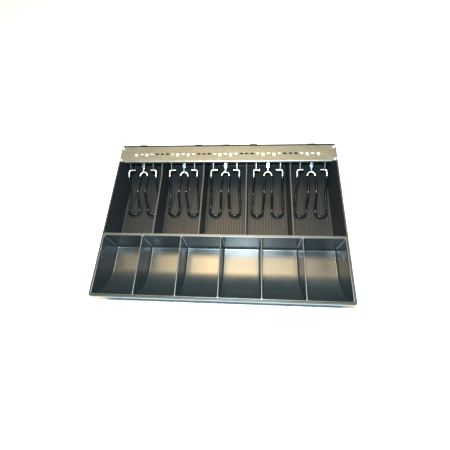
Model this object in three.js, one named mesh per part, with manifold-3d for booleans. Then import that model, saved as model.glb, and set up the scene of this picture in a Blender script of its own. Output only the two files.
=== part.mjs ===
// Removable till of a cash drawer: a moulded tray with five note bays, a lift-out coin tray with six scooped
// cups, and a steel rail that carries five sprung wire note clips.
// Millimetres, +X to the right, +Y to the rear, +Z up, origin at the centre of the base.

import * as THREE from "three";
import { mergeVertices } from "three/addons/utils/BufferGeometryUtils.js";
import Module from "manifold-3d";

const wasm = await Module();
wasm.setup();

// ---------------------------------------------------------------- driving dimensions

const GAP = 0.3; // clearance between neighbouring pieces
const CUT = 5; // how far a cutting shape runs past the face that it opens
const OVERLAP = 1; // how far a joined shape runs into its neighbour
const ARC_STEPS = 4; // half the number of facets of an arc in an outline
const ROUND_SIDES = 12;

// Main tray. A lean is how far a wall comes in between the rim and its foot.
const TRAY = { width: 400, depth: 286, rim: 58, corner: 4, wall: 2.5, sideLean: 2, frontLean: 5.8 };
const BEAD = { height: 8, proud: 0.6 };
const FLOOR = 2.2;
const RIB = { height: 0.8, width: 1.8, pitch: 5, count: 14 };
const FRONT = -TRAY.depth / 2;
const REAR = TRAY.depth / 2;

// Note bays
const BAY = { count: 5, pitch: 78.7, front: -39, rear: 138.3, sideLean: 3, endLean: 2 };
const DIVIDER = { top: 2.2, base: 4.4, frontZ: 46, rearZ: 53, rampFrom: 83, rampTo: 106 };
const CROSS_WALL = { thickness: 2, lean: 1 };

// Coin tray
const COIN = { wall: 1.7, flange: 4.8, sheet: 2, floor: 2.1, lean: 1.6 };
const CUP = { count: 6, front: 4.6, depth: 95.4, divider: 2, dividerLean: 0.3, rearLean: 1 };
const SCOOP = { run: 54.5, straight: 1, steps: 14 };

// Rail
const RAIL = { halfWidth: 199, front: 103.4, rear: 138, sheet: 1, bend: 2.5, lip: 4.3, lipHalfWidth: 189.5 };
const SLOT = { count: 35, perBay: 8, width: 6, depth: 3.3, y: 121 };
const SCREW = { x: 195.5, front: 108.6, rear: 134.6, shank: 1.4, length: 9, head: 2.9, headHeight: 1.5 };
const BOSS = { inner: 191, halfDepth: 4, height: 14 };
const CATCH = { xs: [-157, -51, 0, 51, 157], width: 14.5, height: 2.5 };

// Note clip, measured across the clip and forward of its pivot line
const PIVOT = { y: 96.8, z: 42 };
const WIRE = { bare: 1.5, coated: 2.2 };
const PIN_END = 14.5;
const LEG = { x: 26.1, bend: 3 };
const LOOP = { x: 18.3, across: 10, along: 9 };
const ARCH = { radius: 6.9, apex: 4, back: 3.6, levelBy: 34 };
const WAIST = { x: 7, at: 42 };
const COAT_FROM = 12;

// Bends of the clip seen from the side: forward of the pivot line, then down to the outer and the inner legs.
const SIDE_SHAPE = [
  [0, 0, 5.2],
  [14, 4, 8.2],
  [34, 23.5, 8.4],
  [40, 26, 9.6],
  [46, 28.3, 14.5],
  [56, 31.7, 26],
  [64, 34.5, 34],
  [71, 35.9, 35.9],
  [78, 33.5, 33.5],
];

// Hinge bracket, leaf spring and rivet
const BRACKET = { sheet: 1.2, halfWidth: 22.4, front: 105.9, rear: 127, earBack: 118, eye: 4.2, hole: 1.9 };
const TAB = { width: 4.8, length: 6, sheet: 1 };
const SPRING = { width: 4.8, tongue: 2.2, sheet: 0.8, wideUntil: 0.8, steps: 26 };
const RIVET = { y: 122.6, shank: 1.2, flare: 2, flareHeight: 0.5, head: 2.3, headHeight: 1 };

const COLOURS = {
  abs: { color: 0x1c1f22, roughness: 0.3, metalness: 0 },
  galvanised: { color: 0xbdb7a2, roughness: 0.4, metalness: 1 },
  zinc: { color: 0xc9ccd0, roughness: 0.3, metalness: 1 },
  spring: { color: 0xb6bcc2, roughness: 0.25, metalness: 1 },
  vinyl: { color: 0x121314, roughness: 0.35, metalness: 0 },
};

// ---------------------------------------------------------------- solids

function solid(geometry) {
  geometry.deleteAttribute("normal");
  geometry.deleteAttribute("uv");
  const merged = mergeVertices(geometry, 1e-4);
  const mesh = new wasm.Mesh({
    numProp: 3,
    vertProperties: merged.attributes.position.array,
    triVerts: new Uint32Array(merged.index.array),
  });
  return new wasm.Manifold(mesh);
}

function geometryOf(made) {
  const mesh = made.getMesh();
  const geometry = new THREE.BufferGeometry();
  geometry.setAttribute("position", new THREE.BufferAttribute(mesh.vertProperties, 3));
  geometry.setIndex(new THREE.BufferAttribute(mesh.triVerts, 1));
  return geometry;
}

function joined(solids) {
  return solids.reduce((sum, next) => sum.add(next));
}

function reshaped(geometry, move) {
  const position = geometry.attributes.position;
  const point = new THREE.Vector3();
  for (let i = 0; i < position.count; i += 1) {
    move(point.fromBufferAttribute(position, i));
    position.setXYZ(i, point.x, point.y, point.z);
  }
  return geometry;
}

function box([x0, x1], [y0, y1], [z0, z1]) {
  const geometry = new THREE.BoxGeometry(x1 - x0, y1 - y0, z1 - z0);
  geometry.translate((x0 + x1) / 2, (y0 + y1) / 2, (z0 + z1) / 2);
  return solid(geometry);
}

function span(a, b) {
  return [Math.min(a, b), Math.max(a, b)];
}

function around(centre, halfSize) {
  return [centre - halfSize, centre + halfSize];
}

// An outline in the YZ plane, extruded along X.
function extrudedX(shape, [x0, x1], curveSegments = ARC_STEPS) {
  const geometry = new THREE.ExtrudeGeometry(shape, { depth: x1 - x0, bevelEnabled: false, curveSegments });
  const turn = new THREE.Matrix4().makeBasis(
    new THREE.Vector3(0, 1, 0),
    new THREE.Vector3(0, 0, 1),
    new THREE.Vector3(1, 0, 0),
  );
  return geometry.applyMatrix4(turn).translate(x0, 0, 0);
}

// Leans the two ends of an extrusion along X in, by `left` and `right` between the rim and `foot`.
function leaning(geometry, foot, left, right = left) {
  geometry.computeBoundingBox();
  const middle = (geometry.boundingBox.min.x + geometry.boundingBox.max.x) / 2;
  return reshaped(geometry, (p) => {
    const down = (TRAY.rim - p.z) / (TRAY.rim - foot);
    p.x += p.x < middle ? left * down : -right * down;
  });
}

function cylinder(radius, [x, y], [z0, z1]) {
  const geometry = new THREE.CylinderGeometry(radius, radius, z1 - z0, ROUND_SIDES);
  geometry.rotateX(Math.PI / 2).translate(x, y, (z0 + z1) / 2);
  return solid(geometry);
}

// A profile of radius and height, turned about a vertical line through x, y.
function turned(profile, [x, y]) {
  const points = profile.map(([r, z]) => new THREE.Vector2(r, z));
  return solid(new THREE.LatheGeometry(points, ROUND_SIDES).rotateX(Math.PI / 2).translate(x, y, 0));
}

function roundedRectangle(width, depth, radius) {
  const w = width / 2 - radius;
  const d = depth / 2 - radius;
  return new THREE.Shape()
    .absarc(w, d, radius, 0, Math.PI / 2)
    .absarc(-w, d, radius, Math.PI / 2, Math.PI)
    .absarc(-w, -d, radius, Math.PI, 1.5 * Math.PI)
    .absarc(w, -d, radius, 1.5 * Math.PI, 2 * Math.PI);
}

function outline(points) {
  return new THREE.Shape(points.map(([y, z]) => new THREE.Vector2(y, z)));
}

// ---------------------------------------------------------------- main tray

const bayCentres = Array.from({ length: BAY.count }, (_, i) => (i - (BAY.count - 1) / 2) * BAY.pitch);
const pocketHalfWidth = TRAY.width / 2 - TRAY.wall;
const crossWallFront = BAY.front - CROSS_WALL.thickness;
const coinPocketFloor = FLOOR + RIB.height;
const beadFoot = TRAY.rim - BEAD.height;
const frontPocketFace = FRONT + TRAY.wall;

function trayBlock() {
  const corners = { bevelEnabled: false, curveSegments: ARC_STEPS / 2 };
  const body = new THREE.ExtrudeGeometry(
    roundedRectangle(TRAY.width - 2 * BEAD.proud, TRAY.depth - 2 * BEAD.proud, TRAY.corner),
    { depth: beadFoot + OVERLAP, ...corners },
  );
  reshaped(body, (p) => {
    if (p.z > 0) return;
    p.x -= Math.sign(p.x) * TRAY.sideLean;
    p.y += p.y < 0 ? TRAY.frontLean : -TRAY.sideLean;
  });
  const bead = new THREE.ExtrudeGeometry(roundedRectangle(TRAY.width, TRAY.depth, TRAY.corner), {
    depth: BEAD.height,
    ...corners,
  });
  return solid(body).add(solid(bead.translate(0, 0, beadFoot)));
}

function notePocket() {
  const slope = BAY.endLean / (TRAY.rim - FLOOR);
  const shape = outline([
    [BAY.front + BAY.endLean, FLOOR],
    [BAY.rear - BAY.endLean, FLOOR],
    [BAY.rear + CUT * slope, TRAY.rim + CUT],
    [BAY.front - CUT * slope, TRAY.rim + CUT],
  ]);
  return solid(leaning(extrudedX(shape, [-pocketHalfWidth, pocketHalfWidth]), FLOOR, BAY.sideLean));
}

function coinPocket() {
  const seat = TRAY.rim - COIN.sheet - GAP;
  const shape = outline([
    [frontPocketFace + TRAY.frontLean, coinPocketFloor],
    [crossWallFront - CROSS_WALL.lean, coinPocketFloor],
    [crossWallFront, seat],
    [BAY.front + CUT, seat],
    [BAY.front + CUT, TRAY.rim + CUT],
    [frontPocketFace, TRAY.rim + CUT],
    [frontPocketFace, beadFoot],
  ]);
  return solid(leaning(extrudedX(shape, [-pocketHalfWidth, pocketHalfWidth]), coinPocketFloor, COIN.lean));
}

function divider(x) {
  const shape = outline([
    [BAY.front - OVERLAP, FLOOR - OVERLAP],
    [BAY.rear + OVERLAP, FLOOR - OVERLAP],
    [BAY.rear + OVERLAP, DIVIDER.rearZ],
    [DIVIDER.rampTo, DIVIDER.rearZ],
    [DIVIDER.rampFrom, DIVIDER.frontZ],
    [BAY.front - OVERLAP, DIVIDER.frontZ],
  ]);
  const geometry = reshaped(extrudedX(shape, [-1, 1]), (p) => {
    const up = (p.z - FLOOR) / (TRAY.rim - FLOOR);
    p.x = x + (p.x * THREE.MathUtils.lerp(DIVIDER.base, DIVIDER.top, up)) / 2;
  });
  return solid(geometry);
}

function floorRibs(bayX) {
  return Array.from({ length: RIB.count }, (_, i) => {
    const x = bayX + (i - (RIB.count - 1) / 2) * RIB.pitch;
    const ends = [BAY.front - OVERLAP, BAY.rear + OVERLAP];
    return box(around(x, RIB.width / 2), ends, [FLOOR - OVERLAP, FLOOR + RIB.height]);
  });
}

function screwPlaces() {
  return [SCREW.front, SCREW.rear].flatMap((y) => [-SCREW.x, SCREW.x].map((x) => [x, y]));
}

function railBoss([x, y]) {
  const side = Math.sign(x);
  const across = span(side * BOSS.inner, side * (pocketHalfWidth + OVERLAP));
  return box(across, around(y, BOSS.halfDepth), [TRAY.rim - BOSS.height, TRAY.rim]);
}

function rearCatch(x) {
  const depth = [BAY.rear + OVERLAP, REAR - BEAD.proud];
  return box(around(x, CATCH.width / 2), depth, [TRAY.rim - OVERLAP, TRAY.rim + CATCH.height]);
}

function tillTray() {
  const dividers = bayCentres.slice(1).map((x) => divider(x - BAY.pitch / 2));
  const screwHoles = screwPlaces().map((place) =>
    cylinder(SCREW.shank + GAP, place, [TRAY.rim - SCREW.length - OVERLAP, TRAY.rim + CUT]),
  );
  const fittings = [...dividers, ...bayCentres.flatMap(floorRibs), ...screwPlaces().map(railBoss)];
  return joined([trayBlock().subtract(notePocket()), ...fittings])
    .subtract(coinPocket())
    .subtract(joined(screwHoles))
    .add(joined(CATCH.xs.map(rearCatch)));
}

// ---------------------------------------------------------------- coin tray

const coinHalfWidth = pocketHalfWidth - GAP;
const coinFoot = coinPocketFloor + GAP;
const cupFloor = coinFoot + COIN.floor;
const cupFront = FRONT + CUP.front;
const cupRear = cupFront + CUP.depth;
const cupHalfWidth = coinHalfWidth - COIN.wall;
const cupPitch = (2 * cupHalfWidth) / CUP.count;

// Side view of a cup's inside, or of the skin around it when grown by the wall thickness.
function scoopOutline(grow, floorZ, topZ) {
  const centreZ = TRAY.rim - SCOOP.straight;
  const shape = new THREE.Shape();
  shape.moveTo(cupFront - grow, topZ);
  shape.lineTo(cupFront - grow, centreZ);
  shape.absellipse(cupFront + SCOOP.run, centreZ, SCOOP.run + grow, centreZ - floorZ, Math.PI, 1.5 * Math.PI);
  shape.lineTo(cupRear + grow - CUP.rearLean, floorZ);
  shape.lineTo(cupRear + grow, TRAY.rim);
  shape.lineTo(cupRear + grow, topZ);
  return shape;
}

function cupSpace(index) {
  const first = index === 0;
  const last = index === CUP.count - 1;
  const left = -cupHalfWidth + index * cupPitch + (first ? 0 : CUP.divider / 2);
  const right = -cupHalfWidth + (index + 1) * cupPitch - (last ? 0 : CUP.divider / 2);
  const geometry = extrudedX(scoopOutline(0, cupFloor, TRAY.rim + CUT), [left, right], SCOOP.steps);
  const leftLean = first ? COIN.lean : CUP.dividerLean;
  const rightLean = last ? COIN.lean : CUP.dividerLean;
  return solid(leaning(geometry, coinFoot, leftLean, rightLean));
}

// The coin tray's body before the cups are opened: the scooped skin, and an upright plate at each end.
function coinBlock() {
  const frontFace = frontPocketFace + GAP;
  const rearFace = cupRear + COIN.wall;
  const skin = extrudedX(
    scoopOutline(COIN.wall, coinFoot, TRAY.rim),
    [-coinHalfWidth, coinHalfWidth],
    SCOOP.steps,
  );
  const plate = outline([
    [frontFace + TRAY.frontLean, coinFoot],
    [rearFace - CUP.rearLean, coinFoot],
    [rearFace, TRAY.rim],
    [frontFace, TRAY.rim],
    [frontFace, beadFoot],
  ]);
  const block = solid(leaning(extrudedX(plate, [-coinHalfWidth, coinHalfWidth]), coinFoot, COIN.lean));
  const between = solid(leaning(extrudedX(plate, [-cupHalfWidth, cupHalfWidth]), coinFoot, COIN.lean));
  const plates = block.subtract(between);
  return solid(leaning(skin, coinFoot, COIN.lean)).add(plates);
}

function coinTray() {
  const across = [-coinHalfWidth, coinHalfWidth];
  const flange = box(across, [cupRear, cupRear + COIN.flange], [TRAY.rim - COIN.sheet, TRAY.rim]);
  const cups = Array.from({ length: CUP.count }, (_, i) => cupSpace(i));
  return coinBlock().add(flange).subtract(joined(cups));
}

// ---------------------------------------------------------------- rail and its screws

const railFoot = TRAY.rim + GAP;
const railTop = railFoot + RAIL.sheet;
const slotPitch = BAY.pitch / SLOT.perBay;
const foldEnd = RAIL.front + RAIL.bend;

// The rail's front edge, rolled down into a lip, between the two bare ends of the sheet.
function railLip() {
  const centreZ = railTop - RAIL.bend;
  const lipFoot = railTop - RAIL.lip;
  const shape = new THREE.Shape();
  shape.moveTo(foldEnd + OVERLAP, railFoot);
  shape.absarc(foldEnd, centreZ, RAIL.bend - RAIL.sheet, Math.PI / 2, Math.PI, false);
  shape.lineTo(RAIL.front + RAIL.sheet, lipFoot);
  shape.lineTo(RAIL.front, lipFoot);
  shape.absarc(foldEnd, centreZ, RAIL.bend, Math.PI, Math.PI / 2, true);
  shape.lineTo(foldEnd + OVERLAP, railTop);
  return solid(extrudedX(shape, [-RAIL.lipHalfWidth, RAIL.lipHalfWidth], ARC_STEPS));
}

function clipRail() {
  const sheet = box([-RAIL.halfWidth, RAIL.halfWidth], [foldEnd, RAIL.rear], [railFoot, railTop]);
  const ends = [-1, 1].map((side) => {
    const across = span(side * RAIL.lipHalfWidth, side * RAIL.halfWidth);
    return box(across, [RAIL.front + RAIL.sheet, foldEnd + OVERLAP], [railFoot, railTop]);
  });
  const through = [railFoot - OVERLAP, railTop + OVERLAP];
  const slots = Array.from({ length: SLOT.count }, (_, i) => {
    const x = (i - (SLOT.count - 1) / 2) * slotPitch;
    return box(around(x, SLOT.width / 2), around(SLOT.y, SLOT.depth / 2), through);
  });
  const holes = screwPlaces().map((place) => cylinder(SCREW.shank + GAP, place, through));
  return joined([sheet, railLip(), ...ends]).subtract(joined([...slots, ...holes]));
}

// A pan-head screw: flat head with a rounded edge, shank with a pointed end.
function railScrew(place) {
  const seat = railTop + GAP;
  const end = TRAY.rim - SCREW.length + GAP;
  const profile = [
    [0, end],
    [SCREW.shank * 0.6, end],
    [SCREW.shank, end + 1.5],
    [SCREW.shank, seat],
    [SCREW.head, seat],
    [SCREW.head, seat + SCREW.headHeight * 0.5],
    [SCREW.head * 0.7, seat + SCREW.headHeight],
    [0, seat + SCREW.headHeight],
  ];
  return turned(profile, place);
}

// ---------------------------------------------------------------- hinge bracket, leaf spring, rivet

const webTop = railFoot - GAP;
const webFoot = webTop - BRACKET.sheet;
const springTop = webFoot - GAP;
const springFoot = springTop - SPRING.sheet;
const springMiddle = (springTop + springFoot) / 2;

function earOutline() {
  const shape = new THREE.Shape();
  shape.moveTo(BRACKET.front, webTop);
  shape.lineTo(BRACKET.front, webFoot - 2.4);
  shape.absarc(PIVOT.y, PIVOT.z, BRACKET.eye, 0.75 * Math.PI, 1.8 * Math.PI, false);
  shape.lineTo(BRACKET.earBack, webFoot - 4);
  shape.lineTo(BRACKET.earBack, webTop);
  const hole = new THREE.Path();
  hole.absarc(PIVOT.y, PIVOT.z, BRACKET.hole, 0, 2 * Math.PI, true);
  shape.holes.push(hole);
  return shape;
}

function foldedTab(x) {
  const [front, back] = around(SLOT.y, BRACKET.sheet / 2);
  const foot = railTop + GAP;
  const shape = outline([
    [front, webTop - 0.5],
    [back, webTop - 0.5],
    [back, foot + 0.5 * TAB.sheet],
    [back - 0.5 * TAB.sheet, foot + TAB.sheet],
    [back - TAB.length, foot + TAB.sheet],
    [back - TAB.length, foot],
    [front, foot],
  ]);
  return solid(extrudedX(shape, around(x, TAB.width / 2)));
}

function hingeBracket(bayX) {
  const rivetPlace = [bayX, RIVET.y];
  const web = box(around(bayX, BRACKET.halfWidth), [BRACKET.front, BRACKET.rear], [webFoot, webTop]);
  const ears = [-1, 1].map((side) => {
    const outer = bayX + side * BRACKET.halfWidth;
    return solid(extrudedX(earOutline(), span(outer, outer - side * BRACKET.sheet)));
  });
  const tabs = [-slotPitch, slotPitch].map((x) => foldedTab(bayX + x));
  const hole = cylinder(RIVET.shank + GAP, rivetPlace, [webFoot - OVERLAP, webTop + OVERLAP]);
  const recessFoot = webTop - RIVET.flareHeight - GAP;
  const recess = cylinder(RIVET.flare + GAP, rivetPlace, [recessFoot, webTop + OVERLAP]);
  return joined([web, ...ears, ...tabs]).subtract(hole).subtract(recess);
}

// Side view of the strap's middle, measured back from the pivot line and up from it: flat under the bracket,
// down behind the rail's lip, then forward to a tip that rests on top of the clip's arch.
function strapLine() {
  const path = new THREE.Path();
  path.moveTo(29.5, springMiddle - PIVOT.z);
  path.lineTo(23, springMiddle - PIVOT.z);
  path.quadraticCurveTo(19.5, springMiddle - PIVOT.z, 17.2, 9.6);
  path.lineTo(16.2, 7.6);
  path.quadraticCurveTo(14.9, 5.1, 11.5, 3.2);
  path.lineTo(4.2, -0.6);
  path.quadraticCurveTo(1.5, -2, -0.8, -2.8);
  return path;
}

// One length of the strap, between two shares of its whole length.
function strapLength(bayX, from, to, width) {
  const line = strapLine();
  const first = Math.round(from * SPRING.steps);
  const last = Math.round(to * SPRING.steps);
  const upper = [];
  const lower = [];
  for (let i = first; i <= last; i += 1) {
    const { x, y } = line.getPointAt(i / SPRING.steps);
    const tangent = line.getTangentAt(i / SPRING.steps);
    const off = new THREE.Vector2(tangent.y, -tangent.x).multiplyScalar(SPRING.sheet / 2);
    upper.push([PIVOT.y + x + off.x, PIVOT.z + y + off.y]);
    lower.unshift([PIVOT.y + x - off.x, PIVOT.z + y - off.y]);
  }
  return solid(extrudedX(outline([...upper, ...lower]), around(bayX, width / 2)));
}

function leafSpring(bayX) {
  const hole = cylinder(RIVET.shank + GAP, [bayX, RIVET.y], [springFoot - OVERLAP, springTop + OVERLAP]);
  const strap = strapLength(bayX, 0, SPRING.wideUntil, SPRING.width);
  const tongue = strapLength(bayX, SPRING.wideUntil - 0.1, 1, SPRING.tongue);
  return strap.add(tongue).subtract(hole);
}

function springRivet(bayX) {
  const headTop = springFoot - GAP;
  const flareTop = webTop - GAP / 2;
  const profile = [
    [0, headTop - RIVET.headHeight],
    [RIVET.head * 0.7, headTop - RIVET.headHeight],
    [RIVET.head, headTop - RIVET.headHeight * 0.4],
    [RIVET.head, headTop],
    [RIVET.shank, headTop],
    [RIVET.shank, webTop - RIVET.flareHeight],
    [RIVET.flare, flareTop - 0.1],
    [RIVET.flare, flareTop],
    [0, flareTop],
  ];
  return turned(profile, [bayX, RIVET.y]);
}

// ---------------------------------------------------------------- note clip

function sideCurve(down) {
  return new THREE.SplineCurve(SIDE_SHAPE.map((bend) => new THREE.Vector2(bend[0], down(bend))));
}

const outerSide = sideCurve(([, outer]) => outer);
const innerSide = sideCurve(([, , inner]) => inner);
const middleSide = sideCurve(([, outer, inner]) => (outer + inner) / 2);
const reach = middleSide.getLength();

// Folds a point of the flat wire pattern (across, forward along the wire) onto the clip's side shape.
// The arch is set back, so that it hangs below the pivot line.
function folded(bayX, { x, y }) {
  const inner = Math.abs(x) < PIN_END;
  const share = middleSide.getUtoTmapping(THREE.MathUtils.clamp(y / reach, 0, 1));
  const side = (inner ? innerSide : outerSide).getPoint(share);
  const setBack = inner ? 1 - THREE.MathUtils.smoothstep(y, ARCH.apex + ARCH.radius, ARCH.levelBy) : 0;
  return new THREE.Vector3(bayX + x, PIVOT.y - side.x + setBack * ARCH.back, PIVOT.z - side.y);
}

function wireAlong(path, bayX, side, radius, step) {
  const steps = Math.round(path.getLength() / step);
  const points = path.getSpacedPoints(4 * steps).map((p) => folded(bayX, { x: side * p.x, y: p.y }));
  const section = new THREE.Shape().absarc(0, 0, radius, 0, 2 * Math.PI);
  const extrudePath = new THREE.CatmullRomCurve3(points);
  return solid(
    new THREE.ExtrudeGeometry(section, { steps, curveSegments: ARC_STEPS, bevelEnabled: false, extrudePath }),
  );
}

function pinPath() {
  const path = new THREE.Path();
  path.moveTo(PIN_END, 0);
  path.lineTo(LEG.x - LEG.bend, 0);
  path.absarc(LEG.x - LEG.bend, LEG.bend, LEG.bend, -Math.PI / 2, 0, false);
  path.lineTo(LEG.x, COAT_FROM + 3);
  return path;
}

// One coated loop: down the outer leg, round the front, and back up the inner leg.
function loopPath() {
  const tip = reach - LOOP.along;
  const outer = LOOP.x + LOOP.across;
  const inner = LOOP.x - LOOP.across;
  const path = new THREE.Path();
  path.moveTo(LEG.x, COAT_FROM);
  path.bezierCurveTo(LEG.x, tip * 0.5, outer, tip * 0.7, outer, tip);
  path.absellipse(LOOP.x, tip, LOOP.across, LOOP.along, 0, Math.PI, false);
  path.bezierCurveTo(inner, tip - 14, WAIST.x, WAIST.at + 14, WAIST.x, WAIST.at);
  path.lineTo(ARCH.radius, COAT_FROM);
  return path;
}

function archPath() {
  const middle = ARCH.apex + ARCH.radius;
  const path = new THREE.Path();
  path.moveTo(ARCH.radius, COAT_FROM + 3);
  path.lineTo(ARCH.radius, middle);
  path.absarc(0, middle, ARCH.radius, 0, -Math.PI, true);
  path.lineTo(-ARCH.radius, COAT_FROM + 3);
  return path;
}

function billClip(bayX) {
  const halves = [-1, 1].flatMap((side) => [
    wireAlong(pinPath(), bayX, side, WIRE.bare, 2.4),
    wireAlong(loopPath(), bayX, side, WIRE.coated, 6),
  ]);
  return joined([wireAlong(archPath(), bayX, 1, WIRE.bare, 2.2), ...halves]);
}

// ---------------------------------------------------------------- assembly

const till = new THREE.Group();

function place(name, made, look) {
  const mesh = new THREE.Mesh(geometryOf(made), new THREE.MeshStandardMaterial(COLOURS[look]));
  mesh.name = name;
  till.add(mesh);
}

place("till_tray", tillTray(), "abs");
place("coin_tray", coinTray(), "abs");
place("clip_rail", clipRail(), "galvanised");
screwPlaces().forEach((spot, i) => place(`rail_screw_${i + 1}`, railScrew(spot), "zinc"));
bayCentres.forEach((x, i) => {
  place(`hinge_bracket_${i + 1}`, hingeBracket(x), "zinc");
  place(`leaf_spring_${i + 1}`, leafSpring(x), "spring");
  place(`spring_rivet_${i + 1}`, springRivet(x), "zinc");
  place(`bill_clip_${i + 1}`, billClip(x), "vinyl");
});

export default till;
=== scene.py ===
"""Looks for the cash drawer till: moulded black trays, a galvanised rail and sprung wire note clips."""

import math

import bmesh
import bpy
import numpy as np
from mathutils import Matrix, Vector
from mathutils.geometry import tessellate_polygon


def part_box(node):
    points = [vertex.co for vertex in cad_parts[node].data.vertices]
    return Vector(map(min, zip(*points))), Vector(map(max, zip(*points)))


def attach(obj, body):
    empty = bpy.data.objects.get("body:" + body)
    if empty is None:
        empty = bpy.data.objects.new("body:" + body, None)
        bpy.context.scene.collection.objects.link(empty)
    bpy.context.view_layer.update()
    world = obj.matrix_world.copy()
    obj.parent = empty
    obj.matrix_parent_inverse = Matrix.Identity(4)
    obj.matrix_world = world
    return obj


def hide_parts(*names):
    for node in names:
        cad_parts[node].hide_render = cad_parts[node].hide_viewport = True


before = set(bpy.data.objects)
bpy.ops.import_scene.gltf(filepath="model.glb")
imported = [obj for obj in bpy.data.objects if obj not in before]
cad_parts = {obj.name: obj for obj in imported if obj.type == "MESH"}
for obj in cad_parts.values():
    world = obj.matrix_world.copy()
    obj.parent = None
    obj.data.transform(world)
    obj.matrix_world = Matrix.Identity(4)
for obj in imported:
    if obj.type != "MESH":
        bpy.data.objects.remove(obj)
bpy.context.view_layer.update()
MM = 0.001
HALF_TURN = math.pi
QUARTER = math.pi / 2

# Points closer than WELD, in metres, become one. Edges are shaded smooth below one angle between their
# faces and rounded off above the other.
WELD = 2e-6
SMOOTH_BELOW = math.radians(38)
BEVEL_ABOVE = math.radians(40)


# ------------------------------------------------------------------ mesh code, in millimetres


def node_box(name):
    """(lowest corner, highest corner) of a CAD node in millimetres."""
    low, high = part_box(name)
    return Vector(low) / MM, Vector(high) / MM


def lerp(a, b, t):
    return a + (b - a) * t


def arc(start, end, steps):
    """Angles from start to end, both included."""
    return [lerp(start, end, i / steps) for i in range(steps + 1)]


def turns(sides):
    """Angles of one full turn, evenly spread."""
    return [2 * HALF_TURN * i / sides for i in range(sides)]


def ease(t):
    """Smooth step from 0 to 1."""
    return t * t * (3 - 2 * t)


class Shape:
    """Points and faces gathered in millimetres before they become one mesh."""

    def __init__(self):
        self.points = []
        self.faces = []

    def add(self, points, faces):
        base = len(self.points)
        self.points += [tuple(p) for p in points]
        self.faces += [tuple(base + i for i in face) for face in faces]

    def grid(self, rows, around=False):
        """Quads between rows of equally many points; around closes each row into a loop."""
        count = len(rows[0])
        faces = []
        for r in range(len(rows) - 1):
            for i in range(count if around else count - 1):
                here, beside = r * count + i, r * count + (i + 1) % count
                faces.append((here, beside, beside + count, here + count))
        self.add([p for row in rows for p in row], faces)

    def cap(self, loop):
        """One flat face."""
        self.add(loop, [tuple(range(len(loop)))])

    def fill(self, outer, holes):
        """A flat face with holes."""
        loops = [[Vector(p) for p in loop] for loop in [outer, *holes]]
        self.add([p for loop in loops for p in loop], tessellate_polygon(loops))

    def loft(self, rows):
        """A closed tube through looped rows, capped at both ends."""
        self.grid(rows, around=True)
        self.cap(rows[0])
        self.cap(rows[-1])

    def prism(self, outline, across, holes=()):
        """A YZ outline, with holes, between two places along X."""
        for x in across:
            loops = [[(x, y, z) for y, z in loop] for loop in [outline, *holes]]
            if holes:
                self.fill(loops[0], loops[1:])
            else:
                self.cap(loops[0])
        for loop in [outline, *holes]:
            self.grid([[(x, y, z) for y, z in loop] for x in across], around=True)


def ring(x0, x1, y0, y1, radius, z, steps=6):
    """A level rounded rectangle. radius is one number, or four, anticlockwise from the rear right."""
    radii = radius if isinstance(radius, (tuple, list)) else (radius,) * 4
    corners = ((x1, y1, -1, -1), (x0, y1, 1, -1), (x0, y0, 1, 1), (x1, y0, -1, 1))
    points = []
    for i, (x, y, inward_x, inward_y) in enumerate(corners):
        r = radii[i]
        for a in arc(i * QUARTER, (i + 1) * QUARTER, steps):
            points.append((x + inward_x * r + r * math.cos(a), y + inward_y * r + r * math.sin(a), z))
    return points


def level_circle(x, y, radius, z, sides):
    """A level ring of points round an upright line."""
    return [(x + radius * math.cos(a), y + radius * math.sin(a), z) for a in turns(sides)]


def flat_arc(x, y, radius, start, end, steps):
    """Points of an arc in a flat drawing, such as a side view."""
    return [(x + radius * math.cos(a), y + radius * math.sin(a)) for a in arc(start, end, steps)]


def sweep(shape, path, radii, sides=16):
    """Adds a round bar along a path, with its radius at each point."""
    points = [Vector(p) for p in path]
    count = len(points)
    tangents = [(points[min(i + 1, count - 1)] - points[max(i - 1, 0)]).normalized() for i in range(count)]
    side = tangents[0].orthogonal().normalized()
    rows = []
    for point, tangent, radius in zip(points, tangents, radii):
        side = (side - tangent * side.dot(tangent)).normalized()
        up = tangent.cross(side)
        rows.append([point + (side * math.cos(a) + up * math.sin(a)) * radius for a in turns(sides)])
    shape.loft(rows)


def bevel(obj, width):
    """Rounds the sharp edges by a width in millimetres."""
    modifier = obj.modifiers.new("edge_rounding", "BEVEL")
    modifier.width = width * MM
    modifier.segments = 2
    modifier.limit_method = "ANGLE"
    modifier.angle_limit = BEVEL_ABOVE


def piece(name, shape, look, body, rounding=0.0):
    """Turns a shape into a smooth-shaded object that moves with a CAD body."""
    mesh = bpy.data.meshes.new(name)
    mesh.from_pydata([Vector(p) * MM for p in shape.points], [], shape.faces)
    mesh.validate()
    work = bmesh.new()
    work.from_mesh(mesh)
    bmesh.ops.remove_doubles(work, verts=work.verts, dist=WELD)
    bmesh.ops.recalc_face_normals(work, faces=work.faces)
    for face in work.faces:
        face.smooth = True
    for edge in work.edges:
        edge.smooth = len(edge.link_faces) == 2 and edge.calc_face_angle(0.0) < SMOOTH_BELOW
    work.to_mesh(mesh)
    work.free()
    mesh.materials.append(look)
    obj = bpy.data.objects.new(name, mesh)
    bpy.context.scene.collection.objects.link(obj)
    if rounding:
        bevel(obj, rounding)
    weighted = obj.modifiers.new("flat_faces_stay_flat", "WEIGHTED_NORMAL")
    weighted.keep_sharp = True
    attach(obj, body)
    return obj


# ------------------------------------------------------------------ materials

# Scuffs lie above this height and fade out between these places towards the rear rim, in metres.
SCUFFS_ABOVE = 0.0435
SCUFFS_FADE = (0.126, 0.134)
STREAK_SHADE = (0.026, 0.027, 0.029, 1)
SCRATCH_SHADE = (0.06, 0.06, 0.06, 1)


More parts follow.
